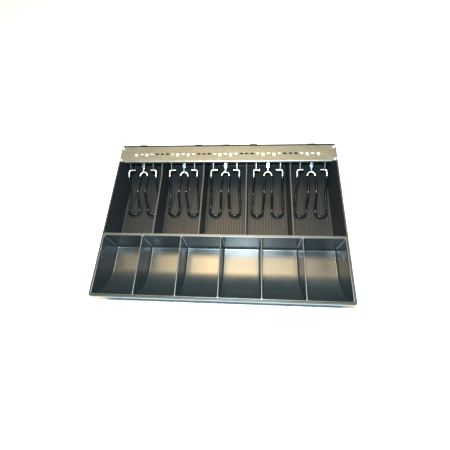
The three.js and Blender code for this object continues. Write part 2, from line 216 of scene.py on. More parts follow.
class Nodes:
    """A material's node tree, built by short calls."""

    def __init__(self, name):
        self.material = bpy.data.materials.new(name)
        self.material.use_nodes = True
        self.tree = self.material.node_tree
        self.shader = self.tree.nodes["Principled BSDF"]
        coordinates = self.make("ShaderNodeTexCoord")
        self.place = coordinates.outputs["Object"]
        self.normal = coordinates.outputs["Normal"]

    def make(self, kind, inputs=None, **settings):
        """A node with its inputs set to a value or linked to a socket."""
        node = self.tree.nodes.new(kind)
        for key, value in settings.items():
            setattr(node, key, value)
        for key, value in (inputs or {}).items():
            if isinstance(value, bpy.types.NodeSocket):
                self.tree.links.new(value, node.inputs[key])
            else:
                node.inputs[key].default_value = value
        return node

    def set(self, **values):
        """Sets or links the shader's inputs; an underscore stands for a space."""
        for key, value in values.items():
            socket = self.shader.inputs[key.replace("_", " ")]
            if isinstance(value, bpy.types.NodeSocket):
                self.tree.links.new(value, socket)
            else:
                socket.default_value = value

    def stretched(self, x, y, z):
        """The place in the object, scaled along each axis."""
        return self.make("ShaderNodeMapping", {"Vector": self.place, "Scale": (x, y, z)}).outputs["Vector"]

    def noise(self, scale, detail=3.0, roughness=0.55, where=None, distortion=0.0):
        inputs = {
            "Vector": where or self.place,
            "Scale": scale,
            "Detail": detail,
            "Roughness": roughness,
            "Distortion": distortion,
        }
        return self.make("ShaderNodeTexNoise", inputs).outputs["Fac"]

    def between(self, value, low, high, to_low, to_high):
        """Maps low..high to to_low..to_high and holds the ends."""
        inputs = {"Value": value, "From Min": low, "From Max": high, "To Min": to_low, "To Max": to_high}
        return self.make("ShaderNodeMapRange", inputs).outputs["Result"]

    def maths(self, operation, a, b=0.0):
        return self.make("ShaderNodeMath", {0: a, 1: b}, operation=operation).outputs["Value"]

    def mix(self, amount, a, b):
        """Colour a where amount is 0, b where it is 1. Inputs 0, 6 and 7 are the factor and the colours."""
        node = self.make("ShaderNodeMix", data_type="RGBA")
        for socket, value in zip((node.inputs[0], node.inputs[6], node.inputs[7]), (amount, a, b)):
            if isinstance(value, bpy.types.NodeSocket):
                self.tree.links.new(value, socket)
            else:
                socket.default_value = value
        return node.outputs[2]

    def upward_above(self, height):
        """1 on faces that look up and lie above a height in metres, 0 elsewhere, with a short fade."""
        normal = self.make("ShaderNodeSeparateXYZ", {"Vector": self.normal}).outputs["Z"]
        place = self.make("ShaderNodeSeparateXYZ", {"Vector": self.place}).outputs["Z"]
        high = self.between(place, height, height + 0.001, 0, 1)
        return self.maths("MULTIPLY", self.between(normal, 0.6, 0.9, 0, 1), high)

    def bump(self, height, distance, strength=1.0, under=None):
        inputs = {"Height": height, "Distance": distance, "Strength": strength}
        if under is not None:
            inputs["Normal"] = under
        return self.make("ShaderNodeBump", inputs).outputs["Normal"]


def moulded_abs(name, base_tint, roughness, grain, scuff, ior, specular):
    """Black injection-moulded ABS: slow gloss changes, fine grain, rubbed streaks and scuffed upper edges."""
    n = Nodes(name)
    slow = n.noise(18, 4)
    fine = n.noise(1500, 2)
    streak = n.noise(60, 5, 0.7, n.stretched(14, 0.8, 1))
    scratch = n.noise(220, 2, 0.5, n.stretched(0.12, 5, 1), 0.6)
    worn = n.between(scratch, 0.66, 0.74, 0, 1)
    shade = n.mix(slow, (*base_tint, 1), (*[1.6 * part for part in base_tint], 1))
    shade = n.mix(n.between(streak, 0.55, 0.8, 0, 0.35), shade, STREAK_SHADE)
    shade = n.mix(n.maths("MULTIPLY", worn, 0.25), shade, SCRATCH_SHADE)
    rearward = n.make("ShaderNodeSeparateXYZ", {"Vector": n.place}).outputs["Y"]
    patchy = n.between(n.noise(300, 3), 0.3, 0.6, 0.6, 1)
    handled = n.maths("MULTIPLY", patchy, n.between(rearward, *SCUFFS_FADE, 1, 0))
    scuffed = n.maths("MULTIPLY", n.upward_above(SCUFFS_ABOVE), handled)
    shade = n.mix(scuffed, shade, scuff)
    base = n.between(slow, 0.3, 0.7, roughness - 0.03, roughness + 0.05)
    base = n.maths("ADD", base, n.maths("MULTIPLY", scuffed, 0.12))
    base = n.maths("ADD", base, n.between(streak, 0.5, 0.8, 0, 0.07))
    n.set(Base_Color=shade, Roughness=n.maths("ADD", base, n.maths("MULTIPLY", worn, 0.1)))
    n.set(IOR=ior, Specular_IOR_Level=specular)
    wave = n.bump(n.noise(45, 2), 0.0004, 0.25)
    n.set(Normal=n.bump(fine, 0.00004, grain, wave))
    return n.material


def galvanised():
    """Satin galvanised sheet: crystal spangle, rolling lines along the rail and faint handling marks."""
    n = Nodes("galvanised_sheet")
    inputs = {"Vector": n.place, "Scale": 190.0, "Randomness": 1.0}
    crystals = n.make("ShaderNodeTexVoronoi", inputs, feature="SMOOTH_F1")
    spangle = n.make("ShaderNodeSeparateColor", {"Color": crystals.outputs["Color"]}).outputs["Red"]
    rolled = n.noise(420, 4, 0.6, n.stretched(0.04, 1, 1))
    smudge = n.noise(28, 4, 0.6)
    tint = n.mix(spangle, (0.195, 0.20, 0.185, 1), (0.225, 0.232, 0.212, 1))
    tint = n.mix(n.between(rolled, 0.35, 0.7, 0, 0.4), tint, (0.265, 0.27, 0.245, 1))
    tint = n.mix(n.between(smudge, 0.52, 0.75, 0, 0.2), tint, (0.17, 0.175, 0.16, 1))
    gloss = n.maths("ADD", n.between(spangle, 0, 1, 0.44, 0.5), n.between(rolled, 0.3, 0.7, -0.03, 0.05))
    gloss = n.maths("ADD", gloss, n.between(smudge, 0.5, 0.8, 0, 0.04))
    n.set(Base_Color=tint, Metallic=1.0, Roughness=gloss)
    n.set(Normal=n.bump(spangle, 0.00005, 0.25, n.bump(rolled, 0.00005, 0.5)))
    return n.material


def plated(name, light, dark, roughness):
    """Zinc plate or spring steel: drawing lines, dull patches and a pinhole texture."""
    n = Nodes(name)
    patches = n.noise(160, 4, 0.65)
    lines = n.noise(900, 3, 0.6, n.stretched(1, 0.15, 0.15))
    pits = n.noise(2600, 2)
    shade = n.mix(n.between(patches, 0.35, 0.72, 0, 1), light, dark)
    gloss = n.between(patches, 0.3, 0.7, roughness - 0.05, roughness + 0.09)
    gloss = n.maths("ADD", gloss, n.maths("MULTIPLY", lines, 0.06))
    n.set(Base_Color=shade, Metallic=1.0, Roughness=gloss)
    n.set(Normal=n.bump(pits, 0.00002, 0.35, n.bump(lines, 0.00003, 0.4)))
    return n.material


def vinyl_dip():
    """Dipped black vinyl: glossy, a little lumpy, with dull rubbed patches."""
    n = Nodes("vinyl_dip")
    lumps = n.noise(130, 3, 0.5)
    rubbed = n.noise(75, 4, 0.6)
    shade = n.mix(n.between(rubbed, 0.5, 0.75, 0, 1), (0.0035, 0.0037, 0.0042, 1), (0.010, 0.010, 0.011, 1))
    n.set(Base_Color=shade, Roughness=n.between(rubbed, 0.35, 0.75, 0.15, 0.24), IOR=1.45)
    n.set(Specular_IOR_Level=0.22)
    n.set(Normal=n.bump(n.noise(1900, 2), 0.00002, 0.3, n.bump(lumps, 0.0006, 0.5)))
    return n.material


ABS_TRAY = moulded_abs(
    "moulded_abs_tray",
    base_tint=(0.0075, 0.0083, 0.0090),
    roughness=0.32,
    grain=0.3,
    scuff=(0.040, 0.037, 0.031, 1),
    ior=1.48,
    specular=0.2,
)
# The cups' base tint is the black plastic's colour with a painted teal cast of the cool light added.
ABS_CUPS = moulded_abs(
    "moulded_abs_cups",
    base_tint=(0.0072, 0.0095, 0.0104),
    roughness=0.29,
    grain=0.05,
    scuff=(0.022, 0.025, 0.025, 1),
    ior=1.66,
    specular=0.5,
)
GALVANISED = galvanised()
ZINC = plated("zinc_plate", (0.86, 0.90, 0.92, 1), (0.68, 0.72, 0.74, 1), 0.42)
# Zinc for the ears under the rail: the same plate with its colour darkened as painted shade.
ZINC_PAINTED_SHADE = plated("zinc_plate_painted_shade", (0.13, 0.145, 0.15, 1), (0.09, 0.10, 0.105, 1), 0.4)
BRIGHT_ZINC = plated("bright_zinc_wire", (0.84, 0.92, 0.96, 1), (0.66, 0.74, 0.79, 1), 0.26)
SPRING_STEEL = plated("spring_steel", (0.74, 0.79, 0.84, 1), (0.52, 0.57, 0.62, 1), 0.18)
VINYL = vinyl_dip()


# ------------------------------------------------------------------ main tray

tray_low, tray_high = node_box("till_tray")
rail_low, rail_high = node_box("clip_rail")
coin_low, coin_high = node_box("coin_tray")
HALF_WIDTH = tray_high.x
FRONT = tray_low.y
REAR = tray_high.y
RIM = coin_high.z
SEAT = coin_high.z - 2.3
FLOOR = 2.2
WALL = 2.5
CORNER = 4
BEAD_FOOT = RIM - 8
BAY_PITCH = 78.7
BAY_FRONT = coin_high.y - 0.8
BAY_REAR = REAR - 4.7
CROSS_FRONT = BAY_FRONT - 2
POCKET = HALF_WIDTH - WALL
BAYS = range(1, 6)
DROP = RIM - FLOOR
# How far each wall comes in from its top to its foot.
FRONT_LEAN = 5.8
OUTSIDE_LEAN = 2
BAY_SIDE_LEAN = 3
BAY_LEAN = 2
COIN_LEAN = 1.6
# The divider's top line as (y, height): low in front, up a ramp, level under the rail.
RAMP = ((81.5, 46), (83, 46.15), (85, 46.6), (104, 52.4), (106, 52.85), (108, 53))
DIVIDER_FLARE = 1.4
FLARE_RUN = 1.6
RIB_COUNT = 14
RIB_PITCH = 5
SCREW_X = 195.5
SCREW_YS = (108.6, 134.6)
CATCH_XS = (-157, -51, 0, 51, 157)
CATCH_HALF = 7.25


def outer_skin(z, inset=0.0):
    """Outside of the tray below its bead, which leans in towards the foot, most at the front."""
    down = 1 - z / (BEAD_FOOT + 1)
    proud = 0.6 + inset
    x = HALF_WIDTH - proud - OUTSIDE_LEAN * down
    front = FRONT + proud + FRONT_LEAN * down
    rear = REAR - proud - OUTSIDE_LEAN * down
    return ring(-x, x, front, rear, CORNER - 0.6 * inset, z)


def note_well(z, inset=0.0, radius=2.5):
    """Inside of the well that holds the note bays, at one height."""
    down = (RIM - z) / DROP
    x = POCKET - BAY_SIDE_LEAN * down - inset
    front = BAY_FRONT + BAY_LEAN * down + inset
    rear = BAY_REAR - BAY_LEAN * down - inset
    return ring(-x, x, front, rear, (radius, radius, 1.5, 1.5), z)


def coin_well(z, inset=0.0):
    """Inside of the well that holds the coin tray, at one height."""
    down = (RIM - z) / DROP
    x = POCKET - COIN_LEAN * down - inset
    front = FRONT + WALL + FRONT_LEAN * max(0.0, (BEAD_FOOT - z) / BEAD_FOOT) + inset
    return ring(-x, x, front, CROSS_FRONT - down - inset, (0.8, 0.8, 2.0, 2.0), z)


def mouth_line(grow, z):
    """Inner edge of the rim round both wells, made wider by grow."""
    return ring(-POCKET - grow, POCKET + grow, FRONT + WALL - grow, BAY_REAR + grow, 2.5 + grow, z)


def rim_line(cut, z):
    """Outer edge of the bead, drawn in by cut."""
    return ring(-HALF_WIDTH + cut, HALF_WIDTH - cut, FRONT + cut, REAR - cut, CORNER - cut, z)


def tray_shell():
    """Outside, rim and both wells as one closed skin, without the dividers and ribs."""
    shape = Shape()
    foot = 0.8
    rows = [outer_skin(foot - foot * math.cos(a), foot - foot * math.sin(a)) for a in arc(0, QUARTER, 4)]
    rows += [outer_skin(BEAD_FOOT - 0.9), outer_skin(BEAD_FOOT - 0.3, -0.05)]
    rows.append(ring(-HALF_WIDTH + 0.3, HALF_WIDTH - 0.3, FRONT + 0.3, REAR - 0.3, 3.8, BEAD_FOOT))
    rows.append(rim_line(0, BEAD_FOOT + 0.3))
    edge = 0.8
    rows += [rim_line(edge - edge * math.cos(a), RIM - edge + edge * math.sin(a)) for a in arc(0, QUARTER, 5)]
    inner = 0.5
    for a in arc(0, QUARTER, 4):
        rows.append(mouth_line(inner - inner * math.sin(a), RIM - inner + inner * math.cos(a)))
    rows.append(mouth_line(0, SEAT))
    shape.grid(rows, around=True)
    shape.cap(rows[0])
    shape.fill(mouth_line(0, SEAT), [note_well(SEAT), coin_well(SEAT)])
    fillet = 2.2
    well = [note_well(z) for z in (SEAT, 40, 25, 12)]
    for a in arc(0, QUARTER, 6):
        well.append(note_well(FLOOR + fillet - fillet * math.sin(a), fillet - fillet * math.cos(a), 2.6))
    shape.grid(well, around=True)
    shape.cap(well[-1])
    seat = [coin_well(z) for z in (SEAT, BEAD_FOOT, 25, 3.4)] + [coin_well(3.0, 0.3)]
    shape.grid(seat, around=True)
    shape.cap(seat[-1])
    return shape


def divider_top(y):
    """Height of a divider's top, which ramps up to meet the rail."""
    return float(np.interp(y, [place for place, _ in RAMP], [height for _, height in RAMP]))


def divider_half(z):
    """Half a divider's thickness, which tapers upwards."""
    return lerp(2.2, 1.1, (z - FLOOR) / DROP)


def divider_section(x, y, toward):
    """Cross-section of a divider, which flares as toward nears -1, the front wall, or 1, the rear wall."""
    top = divider_top(y)
    flare = DIVIDER_FLARE * (1 - math.sqrt(max(0.0, 1 - toward**2)))
    foot = 1.3
    crown = 0.4
    half = []
    for a in arc(0, QUARTER, 4):
        z = FLOOR + foot - foot * math.cos(a)
        half.append((divider_half(FLOOR) + foot - foot * math.sin(a), z))
    for z in (12, 25, top - 6):
        half.append((divider_half(z), z))
    for a in arc(0, QUARTER, 4):
        half.append((divider_half(top) - crown + crown * math.cos(a), top - crown + crown * math.sin(a)))
    lean = BAY_LEAN * toward
    points = [(x + w + flare, y - lean * (RIM - z) / DROP, z) for w, z in half]
    points += [(x - w - flare, y - lean * (RIM - z) / DROP, z) for w, z in reversed(half)]
    under = FLOOR - 0.6
    return points + [(points[-1][0], points[-1][1], under), (points[0][0], points[0][1], under)]


def dividers():
    """The four walls between the note bays."""
    shape = Shape()
    steps = (0.15, 0.4, 0.7, 1)
    for i in range(1, 5):
        x = (i - 2.5) * BAY_PITCH
        rows = [divider_section(x, BAY_FRONT - 0.6, -1), divider_section(x, BAY_FRONT + 0.05, -1)]
        rows += [divider_section(x, BAY_FRONT + FLARE_RUN * t, t - 1) for t in steps]
        rows += [divider_section(x, y, 0) for y in (-30, 20, 60, 81.5, 83, 85, 94, 104, 106, 108, 128)]
        rows += [divider_section(x, BAY_REAR - FLARE_RUN * t, 1 - t) for t in reversed(steps)]
        rows += [divider_section(x, BAY_REAR - 0.05, 1), divider_section(x, BAY_REAR + 0.6, 1)]
        shape.loft(rows)
    return shape


def floor_ribs():
    """Raised lines along each bay's floor that keep notes easy to pick up."""
    shape = Shape()
    flank = ((1.1, -0.4), (0.95, 0), (0.72, 0.5), (0.45, 0.76))
    section = [(-w, h) for w, h in flank] + [(0, 0.8)] + list(reversed(flank))
    for bay in BAYS:
        for i in range(RIB_COUNT):
            x = (bay - 3) * BAY_PITCH + (i - (RIB_COUNT - 1) / 2) * RIB_PITCH
            rows = [[(x + w, y, FLOOR + h) for w, h in section] for y in (BAY_FRONT + 2.4, BAY_REAR - 2.4)]
            shape.loft(rows)
    return shape


def rail_bosses():
    """Four blocks under the rail's corners that take the screws."""
    shape = Shape()
    edge = 0.5
    for side in (-1, 1):
        inner, outer = side * (HALF_WIDTH - 9), side * (POCKET + 0.6)
        x0, x1 = min(inner, outer), max(inner, outer)
        foot_x0, foot_x1 = x0 + 0.6 * (side > 0), x1 - 0.6 * (side < 0)
        for y in SCREW_YS:
            rows = [ring(foot_x0, foot_x1, y - 3.6, y + 3.6, 1, RIM - 14)]
            for a in arc(0, QUARTER, 3):
                cut = edge - edge * math.cos(a)
                z = RIM - edge + edge * math.sin(a)
                rows.append(ring(x0 + cut, x1 - cut, y - 4 + cut, y + 4 - cut, 1.2 - cut, z))
            shape.loft(rows)
    return shape


def rear_catches():
    """Low lugs on the rear rim, each with a ramped front."""
    shape = Shape()
    top = tray_high.z
    for x in CATCH_XS:
        rows = []
        for z, grow in ((RIM - 0.8, 0), (RIM + 0.4, 0), (top - 0.5, -0.25), (top - 0.15, -0.45), (top, -0.9)):
            half = CATCH_HALF + grow
            ramp = 0.55 * (z - RIM) if z > RIM else 0
            rows.append(ring(x - half, x + half, BAY_REAR - 0.4 + ramp, REAR - 0.65 + grow, 0.7, z, 3))
        shape.loft(rows)
    return shape


shell = piece("till_tray_shell", tray_shell(), ABS_TRAY, "till")
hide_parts("till_tray")
piece("till_tray_dividers", dividers(), ABS_TRAY, "till")
piece("till_tray_ribs", floor_ribs(), ABS_TRAY, "till")
piece("till_tray_rail_bosses", rail_bosses(), ABS_TRAY, "till")
piece("till_tray_catches", rear_catches(), ABS_TRAY, "till")


# ------------------------------------------------------------------ coin tray

COIN_HALF = coin_high.x
COIN_FOOT = coin_low.z
COIN_FRONT = coin_low.y
COIN_REAR = coin_high.y
SKIN = 1.7
CUP_COUNT = 6
CUP_HALF = COIN_HALF - SKIN
CUP_FLOOR = COIN_FOOT + 2.1
CUP_FRONT = FRONT + 4.6
CUP_REAR = COIN_REAR - 4.8
CUP_PITCH = 2 * CUP_HALF / CUP_COUNT
CUP_CORNER = 2.2
CUP_STEPS = 6
CUP_FILLET = 3.2
SCOOP_RUN = 54.5
SCOOP_TOP = RIM - 1
FLANGE_FOOT = RIM - 2
LIP = 0.85


def coin_down(z):
    """0 at the rim, 1 at the coin tray's foot."""
    return (RIM - z) / (RIM - COIN_FOOT)


def scoop_profile(offset, top, floor, grow=0.0):
    """Side view of a cup from its front rim, down the scoop, along the floor and up the rear wall.
    The line is moved into the cup by offset, or out through the skin by grow."""
    move = offset - grow
    points = [(CUP_FRONT + move, top)]
    fall = SCOOP_TOP - floor
    for a in arc(0, QUARTER, 40):
        across, down = SCOOP_RUN * math.cos(a), fall * math.sin(a)
        normal = Vector((across / SCOOP_RUN**2, down / fall**2)).normalized()
        points.append((CUP_FRONT + SCOOP_RUN - across + normal.x * move, SCOOP_TOP - down + normal.y * move))
    rear_foot = CUP_REAR - 1
    radius = CUP_FILLET - move
    for a in arc(0, QUARTER, 8):
        y = rear_foot - CUP_FILLET + radius * math.sin(a)
        points.append((y, floor + CUP_FILLET - radius * math.cos(a)))
    points.append((CUP_REAR - move, top))
    return points


def cup_bounds(index):
    """Left and right side of a cup at the rim, and how far each comes in at the foot."""
    last = CUP_COUNT - 1
    left = -CUP_HALF + index * CUP_PITCH + (1 if index else 0)
    right = -CUP_HALF + (index + 1) * CUP_PITCH - (1 if index < last else 0)
    return left, right, 0.3 if index else COIN_LEAN, 0.3 if index < last else COIN_LEAN


def cup_surface(shape, index):
    """Inside of one cup, up to its rounded lip. Returns the lip's outline on the top face."""
    left, right, lean_left, lean_right = cup_bounds(index)
    top = RIM - LIP

    def leaned(x, y, z):
        u = (x - left) / (right - left)
        return (x + coin_down(z) * (lean_left * (1 - u) - lean_right * u), y, z)

    rounds = []
    for a in arc(0, QUARTER, CUP_STEPS):
        rounds.append((CUP_CORNER - CUP_CORNER * math.cos(a), CUP_CORNER - CUP_CORNER * math.sin(a)))
    lines = [(left + dx, inward) for dx, inward in rounds]
    lines += [(right - dx, inward) for dx, inward in reversed(rounds)]
    rows = [[leaned(x, y, z) for y, z in scoop_profile(inward, top, CUP_FLOOR)] for x, inward in lines]
    shape.grid(rows)
    shape.cap(rows[0])
    shape.cap(rows[-1])
    middle_x, middle_y = (left + right) / 2, (CUP_FRONT + CUP_REAR) / 2
    half_x, half_y = (right - left) / 2, (CUP_REAR - CUP_FRONT) / 2
    mouth = []
    for a in arc(0, QUARTER, 4):
        grow_x, grow_y = [1 + (LIP - LIP * math.cos(a)) / half for half in (half_x, half_y)]
        z = RIM - LIP + LIP * math.sin(a)
        loop = []
        for x, y, _ in ring(left, right, CUP_FRONT, CUP_REAR, CUP_CORNER, z, CUP_STEPS):
            loop.append(leaned(middle_x + (x - middle_x) * grow_x, middle_y + (y - middle_y) * grow_y, z))
        mouth.append(loop)
    shape.grid(mouth, around=True)
    return mouth[-1]


def coin_tray():
    """Six cups with their lips, the flange round them, and the skin under the scoops."""
    shape = Shape()
    mouths = [cup_surface(shape, i) for i in range(CUP_COUNT)]

    def outside(cut, z):
        radii = [radius - cut for radius in (1.4, 1.4, 2.2, 2.2)]
        return ring(-COIN_HALF + cut, COIN_HALF - cut, COIN_FRONT + cut, COIN_REAR - cut, radii, z)

    edge = 0.45
    rows = [outside(edge - edge * math.sin(a), RIM - edge + edge * math.cos(a)) for a in arc(0, QUARTER, 4)]
    shape.fill(rows[0], mouths)
    rows += [outside(0, FLANGE_FOOT + 0.2), outside(0.2, FLANGE_FOOT)]
    shape.grid(rows, around=True)
    side = COIN_HALF - 0.5
    profile = scoop_profile(0, FLANGE_FOOT, CUP_FLOOR, SKIN)
    ends = [[(s * (side - COIN_LEAN * coin_down(z)), y, z) for y, z in profile] for s in (-1, 1)]
    shape.grid(ends)
    shape.cap(ends[0])
    shape.cap(ends[1])
    opening = [ends[1][-1], ends[0][-1], ends[0][0], ends[1][0]]
    shape.fill(rows[-1], [opening])
    return shape


def coin_ends():
    """Upright plate at each end of the coin tray, down to its foot."""
    shape = Shape()
    rear = CUP_REAR + SKIN
    outline = [
        (COIN_FRONT + 5.9, COIN_FOOT + 0.6),
        (COIN_FRONT + 6.5, COIN_FOOT),
        (rear - 1.6, COIN_FOOT),
        (rear - 1, COIN_FOOT + 0.6),
        (rear - 0.1, RIM - 1.2),
        (COIN_FRONT + 0.4, RIM - 1.2),
        (COIN_FRONT + 0.1, BEAD_FOOT),
    ]
    for side in (-1, 1):
        faces = []
        for x in (COIN_HALF - 1.65, COIN_HALF - 0.02):
            faces.append([(side * (x - COIN_LEAN * coin_down(z)), y, z) for y, z in outline])
        shape.loft(faces)
    return shape


cups = piece("coin_tray_cups", coin_tray(), ABS_CUPS, "coins")
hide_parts("coin_tray")
piece("coin_tray_ends", coin_ends(), ABS_CUPS, "coins", rounding=0.3)


# ------------------------------------------------------------------ rail and screws

RAIL_TOP = rail_high.z
RAIL_FRONT = rail_low.y
SHEET = 1.0
BEND = 2.5
LIP_HALF = HALF_WIDTH - 10.5
SLOT_COUNT = 35
SLOT_PITCH = BAY_PITCH / 8
SLOT_Y = 121
SLOT_SIZE = (3, 1.65, 0.5)
HOLE_SIZE = (1.7, 1.7, 1.69)
PUNCHED_EDGE = 0.15
SCREW_HEAD = 2.9
SCREW_HEIGHT = 1.5


def rail_openings():
    """Every slot and screw hole of the rail as (x, y, half width, half depth, corner radius)."""
    middle = (SLOT_COUNT - 1) / 2
    slots = [((i - middle) * SLOT_PITCH, SLOT_Y, *SLOT_SIZE) for i in range(SLOT_COUNT)]
    return slots + [(side * SCREW_X, y, *HOLE_SIZE) for side in (-1, 1) for y in SCREW_YS]


def opening_line(opening, grow, z):
    """Edge of a slot or hole, made wider by grow."""
    x, y, half_width, half_depth, radius = opening
    w, d = half_width + grow, half_depth + grow
    return ring(x - w, x + w, y - d, y + d, radius + grow, z, 5)


def lip_profile(ends):
    """Side view of the bend and the lip, outside first, then back up the inside."""
    fold, centre_z, low = RAIL_FRONT + BEND, RAIL_TOP - BEND, rail_low.z
    profile = flat_arc(fold, centre_z, BEND, QUARTER, HALF_TURN, 10)
    profile += [(RAIL_FRONT, low + 0.3), (RAIL_FRONT + 0.1, low + 0.1), (RAIL_FRONT + 0.3, low)]
    profile += [(ends - 0.2, low), (ends, low + 0.2)]
    return profile + flat_arc(fold, centre_z, BEND - SHEET, HALF_TURN, QUARTER, 8)


def clip_rail():
    """Folded sheet with a rolled front edge, punched slots and screw holes."""
    shape = Shape()
    fold = RAIL_FRONT + BEND
    ends = RAIL_FRONT + SHEET
    half = rail_high.x
    openings = rail_openings()
    edge = PUNCHED_EDGE

    def boundary(z):
        back = ring(-half, half, fold, rail_high.y, (1.5, 1.5, 0.01, 0.01), z, 4)
        left = [(-half, ends, z), (-LIP_HALF, ends, z), (-LIP_HALF, fold, z)]
        right = [(-x, y, z) for x, y, z in reversed(left)]
        return [p for p in back if p[1] > fold + 1] + left + right

    for face, inward in ((RAIL_TOP, -1), (RAIL_TOP - SHEET, 1)):
        shape.fill(boundary(face), [opening_line(o, edge, face) for o in openings])
        for o in openings:
            rows = []
            for a in arc(0, QUARTER, 2):
                z = face + inward * edge * (1 - math.cos(a))
                rows.append(opening_line(o, edge - edge * math.sin(a), z))
            shape.grid(rows, around=True)
    for o in openings:
        rows = [opening_line(o, 0, RAIL_TOP - edge), opening_line(o, 0, RAIL_TOP - SHEET + edge)]
        shape.grid(rows, around=True)
    lips = [[(x, y, z) for y, z in lip_profile(ends)] for x in (-LIP_HALF, LIP_HALF)]
    shape.grid(lips)
    shape.cap(lips[0])
    shape.cap(lips[1])
    top, bottom = boundary(RAIL_TOP), boundary(RAIL_TOP - SHEET)
    count = len(top)
    bend_side = count - 4
    for i in range(count):
        j = (i + 1) % count
        # The side where the bend begins stays open, because the lip goes on from it.
        if i != bend_side:
            shape.cap([top[i], top[j], bottom[j], bottom[i]])
    return shape


def screw_head(x, y, seat, top):
    """Pan-head screw with a cross recess and a pointed shank."""
    shape = Shape()
    sides = 48

    def cross(a):
        """Distance from the middle to the edge of the cross recess."""
        off_arm = abs((a + QUARTER / 2) % QUARTER - QUARTER / 2)
        flank = 0.36 / max(math.sin(off_arm), 0.2)
        return min(1.55 / math.cos(off_arm), flank) if off_arm > 0.05 else 1.55

    def recess(scale, z):
        reach = [(scale * cross(a), a) for a in turns(sides)]
        return [(x + r * math.cos(a), y + r * math.sin(a), z) for r, a in reach]

    rows = [recess(0.55, top - 0.95), recess(0.9, top - 0.2), recess(1, top - 0.03)]
    rows.append(level_circle(x, y, 1.9, top - 0.06, sides))
    brim = seat + 0.45
    for a in arc(0.35, QUARTER, 6):
        radius = SCREW_HEAD - 0.9 + 0.9 * math.sin(a)
        rows.append(level_circle(x, y, radius, brim + (top - brim) * math.cos(a), sides))
    head_foot = ((SCREW_HEAD, seat + 0.12), (SCREW_HEAD - 0.12, seat))
    shank = ((1.35, seat), (1.3, seat - 6), (0.7, seat - 9))
    rows += [level_circle(x, y, radius, z, sides) for radius, z in head_foot + shank]
    shape.loft(rows)
    return shape


rail = piece("clip_rail_sheet", clip_rail(), GALVANISED, "till")
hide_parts("clip_rail")
for number in range(1, 5):
    low, high = node_box(f"rail_screw_{number}")
    middle = (low + high) / 2
    head = screw_head(middle.x, middle.y, high.z - SCREW_HEIGHT, high.z)
    screw = piece(f"rail_screw_{number}_pan_head", head, BRIGHT_ZINC, "till")
    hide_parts(f"rail_screw_{number}")


# ------------------------------------------------------------------ hinge brackets, springs and rivets

PIVOT_Y = 96.8
PIVOT_Z = 42.0
GAP = 0.3
WEB = 1.2
WEB_TOP = RAIL_TOP - SHEET - GAP
WEB_FOOT = WEB_TOP - WEB
WEB_FRONT = 105.9
WEB_REAR = 127
EAR_REAR = 118
EAR = (21.2, 22.4)
EAR_RADIUS = 4.2
EYE_RADIUS = 1.9
TAB = 1.2
TAB_HALF = 2.4
TAB_REACH = 6
STRAP = 0.8
STRAP_TOP = WEB_FOOT - GAP


def bracket_ears(x):
    """The two ears that carry the clip's pins."""
    shape = Shape()
    hidden_top = WEB_TOP - 0.3
    outline = [(WEB_FRONT, hidden_top), (WEB_FRONT, WEB_FOOT - 2.4)]
    outline += flat_arc(PIVOT_Y, PIVOT_Z, EAR_RADIUS, 0.75 * HALF_TURN, 1.8 * HALF_TURN, 30)
    outline += [(EAR_REAR - 0.4, WEB_FOOT - 4.6), (EAR_REAR, WEB_FOOT - 4), (EAR_REAR, hidden_top)]
    eye = flat_arc(PIVOT_Y, PIVOT_Z, EYE_RADIUS, 0, 2 * HALF_TURN, 28)[:-1]
    for side in (-1, 1):
        shape.prism(outline, [x + side * place for place in reversed(EAR)], [eye])
    return shape


def hinge_bracket(x):
    """The bracket's web under the rail and the tabs folded over the rail."""
    shape = Shape()
    web = [(WEB_FRONT, WEB_FOOT), (WEB_REAR, WEB_FOOT), (WEB_REAR, WEB_TOP), (WEB_FRONT, WEB_TOP)]
    shape.prism(web, (x - EAR[1] + 0.2, x + EAR[1] - 0.2))
    foot = RAIL_TOP + GAP
    front, back = SLOT_Y - TAB / 2, SLOT_Y + TAB / 2
    bend = 0.9
    tab = [(front, WEB_TOP - 0.5), (back, WEB_TOP - 0.5), (back, foot + 0.1)]
    tab += flat_arc(back - bend, foot + 0.1, bend, 0, QUARTER, 5)[1:]
    tab += [(back - TAB_REACH, foot + 1), (back - TAB_REACH, foot), (front - 0.3, foot), (front, foot - 0.3)]
    for side in (-1, 1):
        middle = x + side * SLOT_PITCH
        shape.prism(tab, (middle - TAB_HALF, middle + TAB_HALF))
    return shape


def quadratic(a, b, c, steps=8):
    """A curve from a to c that is pulled towards b."""
    points = []
    for t in [i / steps for i in range(steps + 1)]:
        points.append(tuple(a[k] * (1 - t) ** 2 + 2 * b[k] * t * (1 - t) + c[k] * t * t for k in (0, 1)))
    return points


def strap_line():
    """Side view of the leaf spring: flat under the web, down behind the lip, onto the clip's arch."""
    level = STRAP_TOP - STRAP / 2 - PIVOT_Z
    line = [(29.5, level), (26, level)]
    line += quadratic((23, level), (19.5, level), (17.2, 9.6))
    line += quadratic((16.2, 7.6), (14.9, 5.1), (11.5, 3.2))
    for t in (0.25, 0.5, 0.62, 0.7, 0.76, 0.82, 0.88, 0.94):
        line.append((lerp(11.5, 4.2, t), lerp(3.2, -0.6, t)))
    line += quadratic((4.2, -0.6), (1.5, -2), (-0.8, -2.8))
    return [(PIVOT_Y + y, PIVOT_Z + z) for y, z in line]


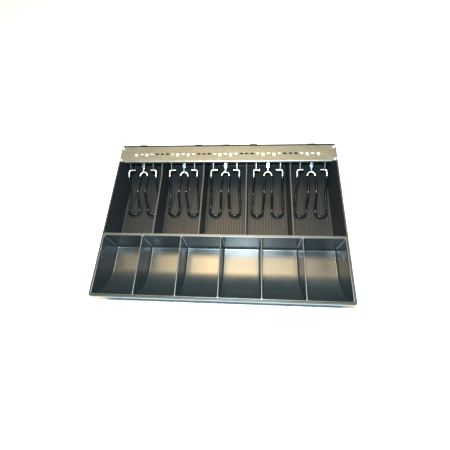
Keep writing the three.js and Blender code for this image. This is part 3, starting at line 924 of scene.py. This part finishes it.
def leaf_spring(x):
    """Spring strip with a wide run under the bracket and a narrow tongue on the clip's arch."""
    shape = Shape()
    line = strap_line()
    t, r = STRAP / 2 - 0.01, 0.22
    rows = []
    for i, (y, z) in enumerate(line):
        before, after = line[max(i - 1, 0)], line[min(i + 1, len(line) - 1)]
        tangent = Vector((after[0] - before[0], after[1] - before[1])).normalized()
        shoulder = float(np.clip((y - PIVOT_Y - 4.6) / 1.4, 0, 1))
        half = lerp(1.1, 2.4, ease(shoulder))
        side = [(half - r, t), (half - 0.05, t - 0.1), (half, t - r)]
        side += [(w, -h) for w, h in reversed(side)]
        loop = [(x + w, y - tangent.y * h, z + tangent.x * h) for w, h in side]
        loop += [(x - w, y - tangent.y * h, z + tangent.x * h) for w, h in reversed(side)]
        rows.append(loop)
    shape.loft(rows)
    return shape


def rivet(x, y, foot, top):
    """Round-headed rivet, turned about an upright line, with its flared end on top."""
    shape = Shape()
    profile = [(0.3, foot), (1.2, foot + 0.12), (1.9, foot + 0.4), (2.3, foot + 0.85), (2.3, foot + 1)]
    profile += [(1.2, foot + 1), (1.2, top - 0.45), (1.95, top - 0.1), (1.8, top), (0.5, top)]
    shape.loft([level_circle(x, y, radius, z, 28) for radius, z in profile])
    return shape


# ------------------------------------------------------------------ note clips

BARE = 1.5
COATED = 2.2
LEG_X = 26.1
LOOP_X = 18.3
LOOP_RX = 10
LOOP_RY = 9
NARROW_X = 7
NARROW_FROM = 42
ARCH_R = 6.9
ARCH_APEX = 4
ARCH_BACK = 3.6
LEVEL_BY = 34
PIN_END = 14.5
PIN_BEND = 3
COAT_FROM = 12
# The bare wire goes on this far under the vinyl.
UNDER_COAT = 3
# Forward of the pivot line, then down to the outer and to the inner legs.
SIDE_SHAPE = (
    (0, 0, 5.2),
    (14, 4, 8.2),
    (34, 23.5, 8.4),
    (40, 26, 9.6),
    (46, 28.3, 14.5),
    (56, 31.7, 26),
    (64, 34.5, 34),
    (71, 35.9, 35.9),
    (78, 33.5, 33.5),
)


def travelled(points):
    """How far along a line each of its points lies."""
    return np.concatenate([[0], np.cumsum(np.linalg.norm(np.diff(points, axis=0), axis=1))])


def side_line(steps=480):
    """SIDE_SHAPE as a smooth curve, and how far along the curve each of its points lies."""
    p = np.array(SIDE_SHAPE, float)
    padded = np.vstack([p[:1], p, p[-1:]])
    points = []
    for k in range(steps + 1):
        t = (len(p) - 1) * k / steps
        i = min(int(t), len(p) - 2)
        u = t - i
        a, b, c, d = padded[i : i + 4]
        v0, v1 = (c - a) / 2, (d - b) / 2
        cubic = (2 * b - 2 * c + v0 + v1) * u**3
        points.append(cubic + (3 * c - 3 * b - 2 * v0 - v1) * u**2 + v0 * u + b)
    points = np.array(points)
    middle = np.column_stack((points[:, 0], points[:, 1:].mean(axis=1)))
    return points, travelled(middle)


SIDE_POINTS, SIDE_ALONG = side_line()
REACH = float(SIDE_ALONG[-1])


def folded(x, across, along):
    """A point of the flat wire pattern, laid on the side shape. The middle arch is set back a little."""
    inner = abs(across) < PIN_END
    forward = float(np.interp(along, SIDE_ALONG, SIDE_POINTS[:, 0]))
    down = float(np.interp(along, SIDE_ALONG, SIDE_POINTS[:, 2 if inner else 1]))
    arch_foot = ARCH_APEX + ARCH_R
    t = float(np.clip((along - arch_foot) / (LEVEL_BY - arch_foot), 0, 1))
    set_back = 1 - ease(t) if inner else 0
    return (x + across, PIVOT_Y - forward + ARCH_BACK * set_back, PIVOT_Z - down)


def bezier(a, b, c, d, steps):
    """A curve from a to d that leaves towards b and arrives from c."""
    points = []
    for t in [i / steps for i in range(steps + 1)]:
        s = 1 - t
        weights = (s**3, 3 * s * s * t, 3 * s * t * t, t**3)
        points.append(tuple(sum(w * p[k] for w, p in zip(weights, (a, b, c, d))) for k in (0, 1)))
    return points


def evenly(points, spacing):
    """The same flat line with its points evenly spaced."""
    flat = np.array(points, float)
    along = travelled(flat)
    places = np.linspace(0, along[-1], max(2, round(along[-1] / spacing)))
    return [(float(np.interp(s, along, flat[:, 0])), float(np.interp(s, along, flat[:, 1]))) for s in places]


def tapered(count, radius, ends, run):
    """Radii along a bar that closes down to `ends` over `run` points at both ends."""
    radii = []
    for i in range(count):
        near = min(i, count - 1 - i) / run
        t = math.sqrt(1 - (1 - min(near, 1)) ** 2)
        radii.append(lerp(ends, radius, t))
    return radii


def clip_wire(x):
    """Bare zinc-plated wire: the two pins with their bends, and the middle arch."""
    shape = Shape()
    bare_end = COAT_FROM + UNDER_COAT
    bend_x = LEG_X - PIN_BEND
    pin = [(PIN_END, 0), (PIN_END + 1.5, 0), (bend_x, 0)]
    pin += flat_arc(bend_x, PIN_BEND, PIN_BEND, -QUARTER, 0, 12)
    pin.append((LEG_X, bare_end))
    middle = ARCH_APEX + ARCH_R
    arch = [(ARCH_R, bare_end), (ARCH_R, middle)]
    arch += [(ARCH_R * math.cos(a), middle - ARCH_R * math.sin(a)) for a in arc(0, HALF_TURN, 32)][1:]
    arch.append((-ARCH_R, bare_end))
    for side in (-1, 1):
        flat = evenly(pin, 0.5)
        sweep(shape, [folded(x, side * a, b) for a, b in flat], tapered(len(flat), BARE, 1.0, 1.5))
    flat = evenly(arch, 0.6)
    sweep(shape, [folded(x, a, b) for a, b in flat], tapered(len(flat), BARE, 1.0, 1))
    return shape


def clip_coat(x):
    """The two vinyl-dipped loops."""
    shape = Shape()
    tip = REACH - LOOP_RY
    outer, inner = LOOP_X + LOOP_RX, LOOP_X - LOOP_RX
    loop = bezier((LEG_X, COAT_FROM), (LEG_X, tip * 0.5), (outer, tip * 0.7), (outer, tip), 40)
    loop += [(LOOP_X + LOOP_RX * math.cos(a), tip + LOOP_RY * math.sin(a)) for a in arc(0, HALF_TURN, 40)][1:]
    narrow = (NARROW_X, NARROW_FROM)
    loop += bezier((inner, tip), (inner, tip - 14), (NARROW_X, NARROW_FROM + 14), narrow, 24)[1:]
    loop.append((ARCH_R, COAT_FROM))
    flat = evenly(loop, 0.8)
    radii = tapered(len(flat), COATED, BARE + 0.02, 3.2)
    for side in (-1, 1):
        sweep(shape, [folded(x, side * a, b) for a, b in flat], radii, 18)
    return shape


for bay in BAYS:
    low, high = node_box(f"bill_clip_{bay}")
    centre = (low.x + high.x) / 2
    low, high = node_box(f"spring_rivet_{bay}")
    turned = rivet(centre, (low.y + high.y) / 2, low.z, high.z)
    bracket = piece(f"hinge_bracket_{bay}_plate", hinge_bracket(centre), ZINC, "till", rounding=0.15)
    # The ears under the rail take the zinc with painted shade in its colour.
    piece(f"hinge_bracket_{bay}_ears", bracket_ears(centre), ZINC_PAINTED_SHADE, "till", rounding=0.15)
    spring = piece(f"leaf_spring_{bay}_strip", leaf_spring(centre), SPRING_STEEL, "till")
    spring_rivet = piece(f"spring_rivet_{bay}_turned", turned, ZINC, "till")
    wire = piece(f"bill_clip_{bay}_wire", clip_wire(centre), BRIGHT_ZINC, f"clip_{bay}")
    piece(f"bill_clip_{bay}_vinyl", clip_coat(centre), VINYL, f"clip_{bay}")
    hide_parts(f"hinge_bracket_{bay}")
    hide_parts(f"leaf_spring_{bay}")
    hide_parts(f"spring_rivet_{bay}")
    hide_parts(f"bill_clip_{bay}")


# ------------------------------------------------------------------ floor, light and camera, in metres

FLOOR_HALF = 9.0
FLOOR_GAP = 0.0006
SKY = (0.62, 0.87, 1.0, 1)
SKY_STRENGTH = 0.46


def floor_plane():
    """Wide pale floor, just below the till's foot so that the two faces don't meet."""
    mesh = bpy.data.meshes.new("studio_floor")
    corners = [(x * FLOOR_HALF, y * FLOOR_HALF, 0) for x, y in ((-1, -1), (1, -1), (1, 1), (-1, 1))]
    mesh.from_pydata(corners, [], [(0, 1, 2, 3)])
    n = Nodes("studio_floor_paper")
    paper = n.noise(35, 4)
    n.set(Base_Color=n.mix(paper, (0.90, 0.90, 0.895, 1), (0.93, 0.93, 0.925, 1)), Roughness=0.9)
    n.set(Specular_IOR_Level=0.2)
    mesh.materials.append(n.material)
    obj = bpy.data.objects.new("studio_floor", mesh)
    obj.location.z = -FLOOR_GAP
    bpy.context.scene.collection.objects.link(obj)
    return obj


def area_light(name, place, aim, size, power, colour):
    """A rectangular lamp at place that faces aim."""
    data = bpy.data.lights.new(name, "AREA")
    data.shape = "RECTANGLE"
    data.size, data.size_y = size
    data.energy = power
    data.color = colour
    obj = bpy.data.objects.new(name, data)
    obj.location = place
    obj.rotation_euler = (Vector(aim) - Vector(place)).to_track_quat("-Z", "Y").to_euler()
    bpy.context.scene.collection.objects.link(obj)
    return obj


def studio():
    """The floor, a cool sky, two warm ceiling panels and a small cool lamp beside the camera."""
    world = bpy.data.worlds.new("studio_surroundings")
    world.use_nodes = True
    background = world.node_tree.nodes["Background"]
    background.inputs["Color"].default_value = SKY
    background.inputs["Strength"].default_value = SKY_STRENGTH
    bpy.context.scene.world = world
    return [
        floor_plane(),
        area_light(
            "warm_ceiling_middle",
            place=(0.0, 0.52, 1.9),
            aim=(0, 0, 0),
            size=(1.0, 0.44),
            power=34,
            colour=(1.0, 0.71, 0.33),
        ),
        area_light(
            "warm_ceiling_wide",
            place=(-0.5, 0.52, 1.93),
            aim=(0, 0, 0),
            size=(1.8, 0.44),
            power=21,
            colour=(1.0, 0.73, 0.38),
        ),
        area_light(
            "cool_front_lamp",
            place=(0.03, -0.167, 0.501),
            aim=(0, 0.02, 0),
            size=(0.04, 0.03),
            power=12.0,
            colour=(0.72, 0.92, 1.0),
        ),
    ]


def camera():
    """The photo's camera, solved from the edges of the rim, the bays and the cups."""
    data = bpy.data.cameras.new("photo_view")
    data.sensor_width = 36
    data.lens = 22.707
    data.shift_x, data.shift_y = -0.001193, 0.001003
    data.clip_start = 0.01
    obj = bpy.data.objects.new("photo_view", data)
    obj.location = (0.045693, -0.208192, 0.482870)
    obj.rotation_euler = [math.radians(a) for a in (23.723, 4.094, 2.586)]
    bpy.context.scene.collection.objects.link(obj)
    bpy.context.scene.camera = obj


studio()
camera()
bpy.context.scene.view_settings.view_transform = "Standard"
bpy.context.scene.view_settings.look = "None"
